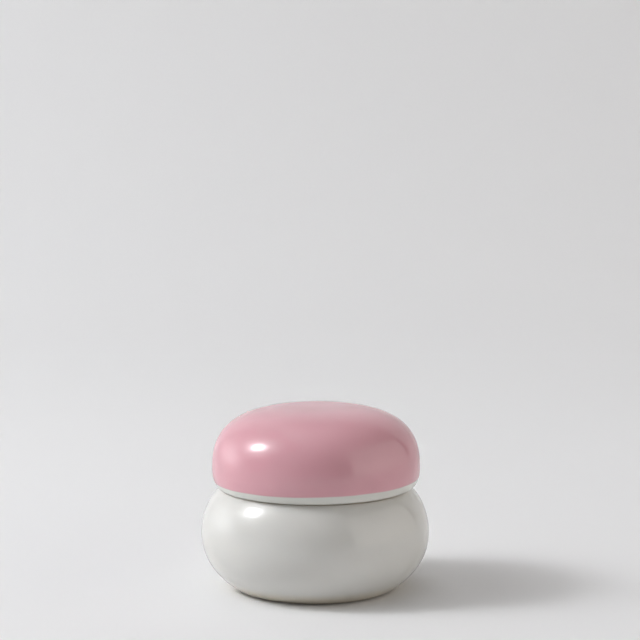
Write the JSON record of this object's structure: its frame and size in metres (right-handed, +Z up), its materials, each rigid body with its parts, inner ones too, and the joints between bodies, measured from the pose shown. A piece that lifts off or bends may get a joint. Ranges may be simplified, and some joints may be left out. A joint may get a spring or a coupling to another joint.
{
  "type": "powder jar",
  "caption": "Squat porcelain powder jar with a domed lid whose lip passes over a raised collar and rests on the jar's shoulder.",
  "frame": {"origin": "on the floor, under the middle of the foot ring, which is the jar's and the lid's common axis", "axes": "+Z up along that axis and out of the jar's mouth; the jar is round, so +X and +Y have no fixed place on it"},
  "size_m": [0.08, 0.08, 0.0637],
  "materials": {
    "white_porcelain": "glossy clear glaze over white porcelain, slightly warm",
    "pink_glaze": "glossy soft pink glaze, ending a little above a white lip"
  },
  "bodies": {
    "jar": {"jar_body": "white_porcelain"},
    "lid": {"lid": "pink_glaze"}
  },
  "joints": [
    {"name": "lid_lift", "type": "slide", "parent": "jar", "child": "lid", "axis": [0, 0, 1], "range_m": [0, 0.06]}
  ]
}
